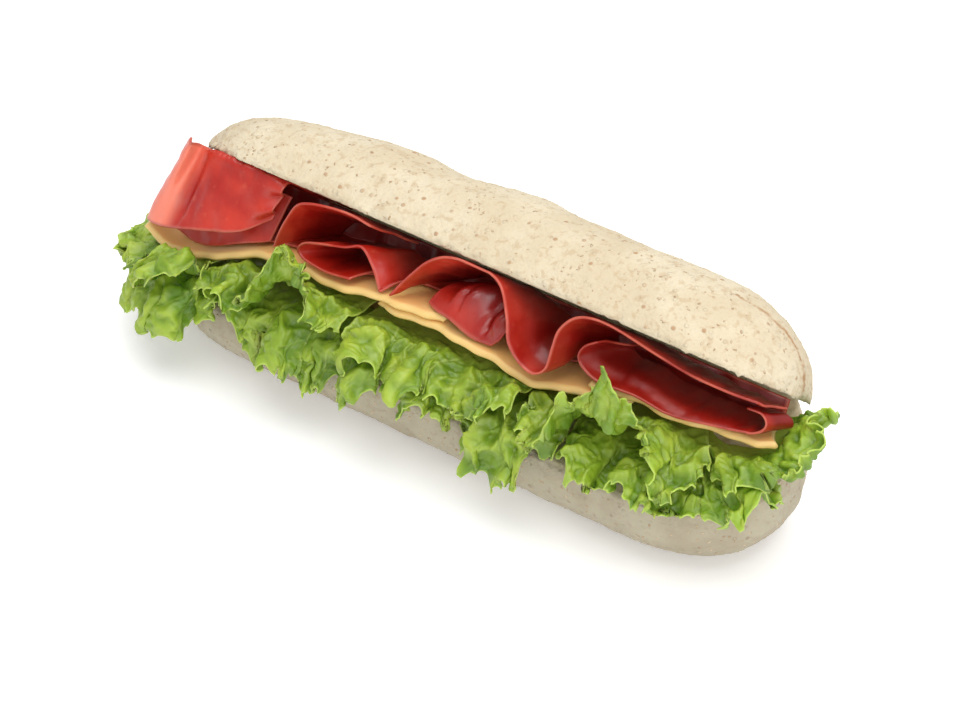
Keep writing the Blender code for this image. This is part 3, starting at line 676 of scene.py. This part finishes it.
def makeEndSlice(name, node, material):
    # folded in half round an upright bend; the outer half is tucked up under the top half of the roll
    columns = endSlice["columns"] * meat["finer"]
    plan = smoothPath([(-6.6, -2.2, 6.2), (-7.5, -2.75, 5.7), (-9.2, -3.05, 5.25), (-10.5, -3.0, 4.8),
                       (-11.3, -2.8, 4.6), (-11.5, -2.5, 4.6), (-11.2, -2.25, 4.5), (-10.4, -2.35, 4.3),
                       (-9.2, -2.55, 4.2), (-7.4, -2.35, 5.0), (-6.7, -2.1, 5.3)], columns + 1)
    x, y, z = [plan[:, k][:, None] for k in range(3)]
    u = np.linspace(0, 1, columns + 1)[:, None]
    v = np.linspace(0, 1, meat["rows"])[None, :]
    z = np.maximum(z, cheeseTop(x, y) + meat["gap"] + meat["thickness"])
    bend = smoothStep(-10.3, -11.4, x) * smoothStep(-2.1, -2.6, y)
    outer = np.where(u < 0.5, smoothStep(-10.3, -8.0, x), 0.0)
    upright = 1 - outer / 4
    clearance = np.where(u < 0.5, meat["tuckClearance"], 4 * meat["roofClearance"])
    full = heightUnderRoof(y, z, clearance) * (1 - bend) + endSlice["foldHeight"] * bend
    height = full * np.minimum(1.0, v / upright)
    alongRoof = 4 * endSlice["tucked"] * np.maximum(0.0, v - upright)
    x = x + height * (0.25 + 0.24 * bend) + 0.3 * alongRoof
    y = y + height * (meat["lean"] - 0.36 * bend) + alongRoof
    frill = endSlice["frill"] * smoothStep(0.12, 0.0, u) * np.sin(2 * math.pi * (2.6 * v + 0.1))
    frill = frill * (v < upright)
    crease = 0.14 * np.exp(-((u - 0.335 - 0.02 * v) / 0.012) ** 2) + 0.1 * np.exp(-((u - 0.15) / 0.02) ** 2)
    y = y + frill + crease * smoothStep(0.0, 0.3, v) * smoothStep(1.0, 0.8, v)
    # painted light: the outer half round the bend is painted a lighter coral where light falls on it and
    # shines through
    paintedLight = smoothStep(-9.9, -10.7, plan[:, 0])[:, None] * smoothStep(0.55, 0.45, u) + 0 * v
    grid = np.stack([x, y, z + height - alongRoof * roofFall], axis=2)
    return finishMeat(name, node, grid, (True, True, True, True), material, paintedLight)


rearSlice = {"columns": 180, "rows": 31, "flatShare": 0.6, "pastBed": 0.4}


def makeRearSlice(name, node, material):
    # lies on the cheese under the folds, then turns up in waves to the roof
    flatShare = rearSlice["flatShare"]
    start, end = meat["bedEnds"]
    x = start + (end + rearSlice["pastBed"] - start) * np.linspace(0, 1, rearSlice["columns"])[:, None]
    v = np.linspace(0, 1, rearSlice["rows"])[None, :]
    foot = 0.15 + 0.14 * np.sin(2.4 * x) + 0.06 * np.sin(5.3 * x)
    y = bedFront(x) + (foot - bedFront(x)) * np.minimum(1.0, v / flatShare)
    low = cheeseTop(x, y) + meat["gap"] + meat["thickness"] / 2
    upright = np.maximum(0.0, v - flatShare) / (1 - flatShare)
    height = heightUnderRoof(foot, low, meat["roofClearance"]) * upright
    grid = np.stack([x + 0 * v, y + meat["lean"] * height, low + height], axis=2)
    return finishMeat(name, node, grid, (True, True, True, True), material)


def makeMeat(material):
    makeEndSlice("endSlice", "meat_slice_1", material)
    makeFold("archSlice", "meat_slice_2",
             [(-6.3, -2.45, 5.4), (-6.15, -2.4, 5.9), (-5.9, -2.3, 6.5), (-5.5, -2.2, 7.2), (-5.0, -2.2, 7.5),
              (-4.3, -2.1, 7.6), (-3.5, -2.0, 7.6), (-2.8, -1.9, 7.4)], (-0.35, -0.35), 25, 18, material)
    makeFold("loopSlice", "meat_slice_3",
             [(-2.0, -2.5, 5.2), (-2.1, -2.45, 5.7), (-2.4, -2.35, 6.3), (-2.9, -2.25, 6.75),
              (-3.5, -2.35, 6.55), (-4.4, -2.45, 6.35), (-5.0, -2.5, 6.15), (-5.25, -2.5, 5.8),
              (-5.0, -2.5, 5.5), (-4.2, -2.5, 5.3), (-3.2, -2.5, 5.2)], (-0.45, -0.8), 27, 28, material)
    makeFold("longSlice", "meat_slice_4",
             [(-1.6, -2.5, 5.6), (-1.35, -2.35, 6.0), (-0.9, -2.3, 6.6), (-0.4, -2.2, 7.2), (0.2, -2.1, 7.6),
              (0.9, -2.0, 7.7), (1.7, -2.0, 7.7), (2.4, -2.2, 7.5), (2.9, -2.6, 6.8), (3.1, -2.8, 6.1),
              (3.5, -2.8, 5.5), (4.0, -2.8, 5.3), (4.4, -2.7, 5.6), (4.5, -2.5, 6.3), (4.6, -2.3, 6.9),
              (5.0, -2.1, 7.4), (5.6, -2.0, 7.6), (6.4, -1.9, 7.5), (7.8, -1.8, 7.1), (9.0, -1.7, 6.8),
              (10.2, -1.5, 6.6), (11.0, -1.3, 6.5)], (-0.35, -0.35), 25, 50, material)
    makeFold("innerSlice", "meat_slice_5",
             [(-0.3, -2.2, 5.3), (0.2, -2.4, 5.2), (0.9, -2.45, 5.1), (1.5, -2.4, 5.0), (2.0, -2.3, 5.1),
              (2.4, -2.25, 5.5)], (-0.45, -0.45), 25, 18, material, climb=0.8, pleat=0.45,
             creases=((0.7, 0.035, 0.7), (0.36, 0.05, 0.3)))
    makeFold("tailSlice", "meat_slice_6",
             [(5.7, -1.9, 6.7), (5.35, -2.0, 6.45), (5.2, -2.1, 6.1), (5.4, -2.15, 5.75),
              (6.1, -2.2, 5.5), (7.6, -2.05, 5.3), (9.0, -1.85, 5.2), (10.2, -1.6, 5.25),
              (11.0, -1.35, 5.4), (11.25, -1.2, 5.7), (11.05, -1.15, 6.0), (10.6, -1.2, 6.05)],
             (-0.35, -0.35), 25, 28, material)
    makeRearSlice("rearSlice", "meat_slice_7", material)


# Lettuce

lettuce = {"thickness": 0.05, "gap": 0.035, "columnsPerCm": 34, "rows": 74, "pathSteps": 61, "curl": 0.2,
           "frizz": 0.1, "leftDroop": 0.9, "crumple": 0.5, "crease": 0.26, "pucker": 0.1,
           "lowWave": 0.41, "highWave": 0.4, "lowestTip": 0.3}


def lipLine():
    # the lower half's lip from its left end round the front to its right end, with 0 in the middle
    stations, smoothing = 241, 25
    turn = np.linspace(-0.64 * math.pi, 0.64 * math.pi, stations)
    xs = roll["halfLength"] * np.sin(turn)
    points = np.stack([xs, -np.sign(np.cos(turn)) * rollHalfWidth(xs) * 0.97], axis=1)
    distance = np.concatenate([[0], np.cumsum(np.linalg.norm(np.diff(points, axis=0), axis=1))])
    distance -= distance[stations // 2]
    tangent = np.gradient(points, distance, axis=0)
    outwards = np.stack([tangent[:, 1], -tangent[:, 0]], axis=1)
    kernel = np.hanning(smoothing) / np.hanning(smoothing).sum()
    padded = np.pad(outwards, ((smoothing // 2, smoothing // 2), (0, 0)), mode="edge")
    outwards = np.stack([np.convolve(padded[:, k], kernel, mode="valid") for k in range(2)], axis=1)
    return distance, points, outwards / np.linalg.norm(outwards, axis=1)[:, None]


lip = lipLine()


def onLip(s):
    distance, points, outwards = lip
    place = np.stack([np.interp(s, distance, points[:, k]) for k in range(2)], axis=-1)
    out = np.stack([np.interp(s, distance, outwards[:, k]) for k in range(2)], axis=-1)
    return place, out / np.linalg.norm(out, axis=-1)[..., None]


# Height of each layer's margin along the lip, and how far its tips stand out from the lip
lowMargin = [(-13.3, 1.9), (-10.5, 1.4), (-8.6, 1.7), (-7.7, 2.4), (-6.6, 1.7), (-3.4, 1.6), (-1.7, 2.3),
             (-0.3, 2.2), (1.2, 2.9), (2.4, 1.6), (4.2, 1.6), (5.4, 3.0), (7.0, 2.9), (9.0, 3.0),
             (13.4, 3.2)]
highMargin = [(-13.3, 2.7), (-11.8, 2.8), (-10.0, 3.3), (-6.8, 3.5), (-6.0, 5.0), (-5.0, 7.4), (-4.0, 4.9),
              (-3.2, 3.6), (-1.0, 3.4), (4.8, 3.4), (5.6, 5.6), (6.3, 6.2), (6.9, 7.2), (7.4, 6.3),
              (8.2, 5.6), (9.2, 3.9), (11.0, 3.8), (12.0, 5.2), (13.0, 5.8), (14.0, 5.6),
              (15.2, 4.6)]
tipReach = [(-13.3, 1.5), (-12.4, 1.9), (-10.7, 1.8), (-9.2, 1.2), (-8.0, 0.8), (8.0, 0.8), (10.5, 0.9),
            (11.8, 1.3), (13.0, 1.15), (13.8, 0.95), (15.2, 0.8)]


def alongLip(stations, s):
    return np.interp(s, *zip(*stations))


def leafPath(s, isHigh):
    place, outwards = onLip(s)
    emerges = -min(1.9, max(0.3, (fillingsFront(place[0]) - place[1]) * abs(outwards[1])))
    reach = alongLip(tipReach, s)
    droop = lettuce["leftDroop"] * float(smoothStep(-10.3, -12.0, s))
    root = emerges - 1.2 - 0.8 * float(smoothStep(9.0, 10.5, s) * smoothStep(13.0, 12.0, s))
    if isHigh:
        margin = alongLip(highMargin, s)
        risen = float(smoothStep(3.8, 6.0, margin))
        points = [(root, 4.1), (emerges - 0.4, 4.2), (emerges + 0.1, 4.35 + 0.2 * risen),
                  (emerges * 0.4 + 0.4 * reach, 4.3 + 0.6 * risen - droop),
                  (reach - 0.5 * risen * abs(emerges), (4.1 + margin) / 2 + 0.3 * risen - droop / 2),
                  (1.15 * reach - 0.8 * risen * abs(emerges), margin)]
    else:
        margin = alongLip(lowMargin, s)
        level = min(3.6, float(cheeseLine(place[0])) - 0.7) - droop / 3
        points = [(emerges - 1.2, level), (emerges - 0.2, level), (emerges * 0.3, level - 0.1),
                  (0.45 * reach, min(3.35, level)), (0.9 * reach, 0.45 * 3.4 + 0.55 * margin),
                  (1.05 * reach, margin)]
    return smoothPath(points, lettuce["pathSteps"])


def rufflePhase(s):
    return 2 * math.pi * (s / 2.6 + 0.16 * np.sin(0.9 * s + 0.4) + 0.06 * np.sin(2.3 * s))


def sweepLeaf(s, reach, isHigh):
    # place and slope of the leaf's path at every point of its grid
    steps = np.linspace(0, 1, lettuce["pathSteps"])
    swept = np.empty((4, *reach.shape))
    for i in range(len(s)):
        path = leafPath(s[i], isHigh)
        slope = np.gradient(path, axis=0)
        for k, row in enumerate((*path.T, *slope.T)):
            swept[k, i] = np.interp(reach[i], steps, row)
    return swept


def keepBetween(x, y, out, up, lap):
    # under the cheese, but free to rise in front of it, and above the cut face of the lower half
    ceiling = cheeseUnderside(x, y) - lettuce["thickness"]
    beyond = np.maximum(fillingsFront(x) - y, x - cheeseEnd(y))
    ceiling = ceiling + 4 * np.maximum(0.0, beyond - 0.5)
    up = np.minimum(up, ceiling + lap - 0.1)
    floor = cut["hingeZ"] - (cut["hingeY"] - y) * math.tan(cut["knifeSlope"])
    floor = floor + lettuce["gap"] + lettuce["thickness"]
    return np.where(out < 0.3, np.maximum(up, floor + lap + 0.1), up)


def makeLeaf(name, node, span, isHigh, wave, seed, material):
    start, end = span
    columns = int((end - start) * lettuce["columnsPerCm"])
    rows = lettuce["rows"]
    s = np.linspace(start, end, columns)
    u = np.linspace(0, 1, columns)
    v = np.linspace(0, 1, rows) ** 0.8
    corner = smoothStep(0, 0.14, u) * smoothStep(1, 0.86, u)
    tooth = np.abs(np.sin(math.pi * s / 0.72 + seed)) ** 0.7
    small = np.abs(np.sin(math.pi * s / 0.31 + 2 * seed + 0.8 * np.sin(1.3 * s))) ** 0.8
    lobe = 0.5 + 0.5 * np.sin(2 * math.pi * s / 2.1 + 2.2 * seed)
    risen = smoothStep(3.8, 6.0, alongLip(highMargin, s))[:, None] if isHigh else 0.0
    notch = (0.1 * tooth + 0.045 * small + 0.11 * lobe) * (1 - 0.45 * np.ravel(risen))
    reach = v[None, :] * (0.82 + 0.18 * corner[:, None] - (notch - 0.06)[:, None] * v[None, :] ** 3)
    out, up, dOut, dUp = sweepLeaf(s, reach, isHigh)
    length = np.hypot(dOut, dUp)
    ruffle = wave * smoothStep(0.15, 0.95, reach) * (1 - 0.5 * risen)
    phase = rufflePhase(s)[:, None]
    lap = (0.2 + 0.1 * smoothStep(0.3, 0.8, reach)) * (u[:, None] - 0.5)
    shift = lap + ruffle * (np.sin(phase) + 0.3 * np.sin(2.1 * phase))
    shift = shift + 0.1 * smoothStep(0.5, 0.95, reach) * np.sin(2 * math.pi * s / 0.95)[:, None]
    moved = s[:, None] - 0.3 * ruffle * np.sin(2 * phase)
    out = out - shift * dUp / length
    up = up + shift * dOut / length
    inwards = np.where(out < 0, 1 - 0.45 * smoothStep(9.5, 13, np.abs(moved)), 1.0)
    place, outwards = onLip(moved)
    xy = place + outwards * (out * inwards)[:, :, None]
    x, y = xy[:, :, 0], xy[:, :, 1]
    up = keepBetween(x, y, out, up, lap)
    grid, crest = frizzLeaf(np.stack([x, y, up], axis=2), s, reach, risen, seed)
    layers = {"rim": rimShare(grid, 0.07, (True, True, False, True)) * 0.9, "crest": crest,
              "inner": smoothStep(0.45, 0.1, reach) * 0.9,
              "vein": leafVeins(s, reach, seed)}
    mesh = sheetMesh(name, grid, lettuce["thickness"], layers)
    return addPiece(name, mesh, material, [node])


def frizzLeaf(grid, s, reach, risen, seed):
    # tight ruffles towards the margin that fold over sideways, then puckers between the veins
    normal = gridNormals(grid)
    sideways = np.gradient(grid, axis=0)
    sideways /= np.maximum(1e-9, np.linalg.norm(sideways, axis=2))[:, :, None]
    wander = 1.5 * np.sin(1.7 * s + seed) + 0.9 * np.sin(4.1 * s + 2 * seed)
    strength = 0.65 + 0.35 * np.sin(1.1 * s + 3 * seed)
    curl = (2 * math.pi * s / 1.15 + wander)[:, None] + 0.9 * reach
    frizz = (2 * math.pi * s / 0.47 + 1.7 * wander)[:, None] - 1.3 * reach
    curlHeight = lettuce["curl"] * strength[:, None] * smoothStep(0.25, 0.95, reach) * (1 - 0.7 * risen)
    frizzHeight = lettuce["frizz"] * smoothStep(0.55, 1.0, reach)
    lift = curlHeight * np.sin(curl) + frizzHeight * np.sin(frizz)
    aside = -0.55 * curlHeight * np.sin(2 * curl) - 0.5 * frizzHeight * np.sin(2 * frizz)
    # folded noise makes flat panes with sharp creases between them
    flat = grid.reshape(-1, 3)
    broad = (0.28 - np.abs(noiseAt(flat, 0.95, seed))).reshape(grid.shape[:2])
    tight = (0.25 - np.abs(noiseAt(flat, 0.45, seed + 3))).reshape(grid.shape[:2])
    fine = (0.25 - np.abs(noiseAt(flat, 0.21, seed + 8))).reshape(grid.shape[:2])
    slide = noiseAt(flat, 0.8, seed + 6).reshape(grid.shape[:2])
    free = smoothStep(0.1, 0.5, reach)
    lift = lift - (lettuce["crumple"] * broad + lettuce["crease"] * tight + lettuce["pucker"] * fine) * free
    aside = aside + 0.3 * slide * free
    grid = grid + normal * lift[:, :, None] + sideways * aside[:, :, None]
    below = cheeseUnderside(grid[:, :, 0], grid[:, :, 1]) - lettuce["thickness"] / 2
    behindEdge = grid[:, :, 1] > fillingsFront(grid[:, :, 0]) - 0.12
    covered = behindEdge & (grid[:, :, 0] < cheeseEnd(grid[:, :, 1]) + 0.1)
    grid[:, :, 2] = np.where(covered, np.minimum(grid[:, :, 2], below),
                             np.maximum(grid[:, :, 2], lettuce["lowestTip"]))
    # the crest share, from how far each point is lifted along the sheet's normal, sets where the material
    # paints light and where it paints shade
    return grid, smoothStep(-0.16, 0.2, lift.mean() - lift)


def leafVeins(s, reach, seed):
    # ribs that fan out towards the margin, with finer branches
    fan = s[:, None] + 0.5 * (reach - 0.5) * np.sin(1.9 * s + seed)[:, None]
    main = np.abs(((fan / 1.15 + 0.13 * seed) % 1.0) - 0.5) * 1.15
    branch = np.abs(((fan / 0.38 + 1.2 * reach + seed) % 1.0) - 0.5) * 0.38
    ribs = smoothStep(0.05, 0.0, main) * smoothStep(1.0, 0.5, reach)
    return np.clip(ribs * 0.8 + smoothStep(0.03, 0.0, branch) * 0.3 * smoothStep(0.2, 0.5, reach), 0, 1)


def makeLettuce(material):
    low = (("lowLeafA", (-13.1, -7.5), 0.3), ("lowLeafB", (-7.4, -0.9), 1.7),
           ("lowLeafC", (-0.8, 5.1), 3.1), ("lowLeafD", (5.2, 12.6), 4.6))
    high = (("highLeafA", (-12.6, -8.7), 0.9), ("highLeafB", (-8.6, -2.9), 2.4),
            ("highLeafC", (-2.8, 3.7), 5.2), ("highLeafD", (3.8, 10.3), 4.1), ("endLeaf", (10.4, 14.9), 2.9))
    for k, (name, span, seed) in enumerate(low + high):
        isHigh = k >= len(low)
        wave = lettuce["highWave"] if isHigh else lettuce["lowWave"]
        makeLeaf(name, "lettuce_leaf_%d" % (k + 1), span, isHigh, wave, seed, material)


# Bran flakes on the crust

bran = {"density": 42000.0, "length": 0.0009, "seed": 4, "turnSeed": 11, "tip": 0.25,
        "smallest": (0.35, 0.2, 0.08), "largest": (1.0, 0.55, 0.2)}    # shares of the length


def branTree(material):
    tree = bpy.data.node_groups.new("branFlakes", "GeometryNodeTree")
    tree.interface.new_socket(name="Geometry", in_out="INPUT", socket_type="NodeSocketGeometry")
    for name, kind in (("Density", "NodeSocketFloat"), ("Length", "NodeSocketFloat"),
                       ("Seed", "NodeSocketInt")):
        socket = tree.interface.new_socket(name=name, in_out="INPUT", socket_type=kind)
        socket.default_value = bran[name.lower()]
    tree.interface.new_socket(name="Geometry", in_out="OUTPUT", socket_type="NodeSocketGeometry")
    inside = addNode(tree, "NodeGroupInput")
    outside = addNode(tree, "NodeGroupOutput")
    crumb = addNode(tree, "GeometryNodeInputNamedAttribute", {"Name": "crumb"}, data_type="FLOAT")
    onCrust = addNode(tree, "FunctionNodeCompare", {0: crumb.outputs[0], 1: 0.02}, data_type="FLOAT",
                      operation="LESS_THAN")
    points = addNode(tree, "GeometryNodeDistributePointsOnFaces",
                     {"Mesh": inside.outputs["Geometry"], "Selection": onCrust.outputs[0],
                      "Density": inside.outputs["Density"], "Seed": inside.outputs["Seed"]})
    flake = addNode(tree, "GeometryNodeMeshIcoSphere", {"Radius": 1.0, "Subdivisions": 1})
    size = addNode(tree, "FunctionNodeRandomValue",
                   {0: bran["smallest"], 1: bran["largest"], "Seed": inside.outputs["Seed"]},
                   data_type="FLOAT_VECTOR")
    scaled = addNode(tree, "ShaderNodeVectorMath", {0: size.outputs[0], "Scale": inside.outputs["Length"]},
                     operation="SCALE")
    tip = bran["tip"]
    turn = addNode(tree, "FunctionNodeRandomValue", {0: (-tip, -tip, 0.0), 1: (tip, tip, 6.28),
                                                     "Seed": bran["turnSeed"]}, data_type="FLOAT_VECTOR")
    placed = addNode(tree, "GeometryNodeInstanceOnPoints",
                     {"Points": points.outputs["Points"], "Instance": flake.outputs["Mesh"],
                      "Rotation": points.outputs["Rotation"], "Scale": scaled.outputs[0]})
    turned = addNode(tree, "GeometryNodeRotateInstances", {"Instances": placed.outputs[0],
                                                           "Rotation": turn.outputs[0]})
    real = addNode(tree, "GeometryNodeRealizeInstances", {"Geometry": turned.outputs[0]})
    dressed = addNode(tree, "GeometryNodeSetMaterial", {"Geometry": real.outputs[0], "Material": material})
    tree.links.new(dressed.outputs[0], outside.inputs[0])
    return tree


def makeBran(bread, material):
    carrier = addObject("branFlakes", bread.data.copy())
    modifier = carrier.modifiers.new("bran", "NODES")
    modifier.node_group = branTree(material)
    sockets = {item.name: item.identifier for item in modifier.node_group.interface.items_tree
               if item.in_out == "INPUT"}
    for name in ("Density", "Length", "Seed"):
        modifier[sockets[name]] = bran[name.lower()]
    mesh = bakeModifiers(carrier)
    bpy.data.objects.remove(carrier, do_unlink=True)
    return addPiece("branFlakes", mesh, material, [])


# Studio

studio = {"focal": 2950, "sensor": 36, "azimuth": 36, "elevation": 38, "distance": 94.2,
          "aim": (0.0, 0.0, 2.6), "aimPixel": (479.0, 350.3), "frameSize": (960, 715),
          "skyStrength": 0.62, "tableGrey": 0.93, "tableGlow": 0.2, "tableHalf": 4}
# place and aim in metres, width in metres, power in watts
lights = {"overheadBox": ((0.1, 0.05, 1.1), (0, 0, 0.03), 1.4, 12.0),
          "rightFill": ((0.95, -0.75, 0.6), (0, 0, 0.04), 0.7, 5.6)}


def makeCamera():
    azimuth, elevation = math.radians(studio["azimuth"]), math.radians(studio["elevation"])
    back = Vector((math.sin(azimuth) * math.cos(elevation), -math.cos(azimuth) * math.cos(elevation),
                   math.sin(elevation)))
    right = Vector((math.cos(azimuth), math.sin(azimuth), 0))
    up = back.cross(right)
    sideways = (studio["aimPixel"][0] - studio["frameSize"][0] / 2) / studio["focal"]
    upwards = -(studio["aimPixel"][1] - studio["frameSize"][1] / 2) / studio["focal"]
    aim = Vector(studio["aim"]) + Vector(rowShift)
    place = (aim - studio["distance"] * (-back + sideways * right + upwards * up)) * cm
    data = bpy.data.cameras.new("photoCamera")
    data.lens = studio["sensor"] * studio["focal"] / studio["frameSize"][0]
    data.sensor_width = studio["sensor"]
    camera = addObject("photoCamera", data)
    camera.matrix_world = Matrix(((right.x, up.x, back.x, place.x), (right.y, up.y, back.y, place.y),
                                  (right.z, up.z, back.z, place.z), (0, 0, 0, 1)))
    bpy.context.scene.camera = camera


def addSoftLight(name, place, aim, size, power):
    data = bpy.data.lights.new(name, "AREA")
    data.shape = "DISK"
    data.size = size
    data.energy = power
    light = addObject(name, data)
    light.location = place
    light.rotation_euler = (Vector(place) - Vector(aim)).to_track_quat("Z", "Y").to_euler()


def makeStudio():
    world = bpy.data.worlds.new("studio")
    bpy.context.scene.world = world
    world.use_nodes = True
    world.node_tree.nodes["Background"].inputs["Color"].default_value = (1, 1, 1, 1)
    world.node_tree.nodes["Background"].inputs["Strength"].default_value = studio["skyStrength"]
    for name, settings in lights.items():
        addSoftLight(name, *settings)
    half = studio["tableHalf"]
    corners = [(-half, -half, 0), (half, -half, 0), (half, half, 0), (-half, half, 0)]
    mesh = meshFrom("tableTop", corners, [(0, 1, 2, 3)])
    table = addObject("tableTop", mesh)
    material, tree, shader = newMaterial("whiteTable")
    shader.inputs["Base Color"].default_value = (*[studio["tableGrey"]] * 3, 1)
    shader.inputs["Roughness"].default_value = 0.7
    shader.inputs["Emission Color"].default_value = (1, 1, 1, 1)
    shader.inputs["Emission Strength"].default_value = studio["tableGlow"]
    mesh.materials.append(material)
    bpy.context.scene.view_settings.view_transform = "Standard"


print("camera and studio")
makeCamera()
makeStudio()
print("bread")
breadPiece = makeBread(breadMaterial())
print("bran flakes")
makeBran(breadPiece, flakeMaterial())
print("cheese")
paleCheese = cheeseMaterial()
makeCheese("cheeseLeft", "cheese_slice_1", cheese["ends"][0], 0.3, True, paleCheese)
makeCheese("cheeseMiddle", "cheese_slice_2", -2.1, 6.9, False, paleCheese)
makeCheese("cheeseRight", "cheese_slice_3", 5.7, cheese["ends"][1], True, paleCheese, cheese["endSlant"])
print("meat")
makeMeat(meatMaterial())
print("lettuce")
makeLettuce(lettuceMaterial())
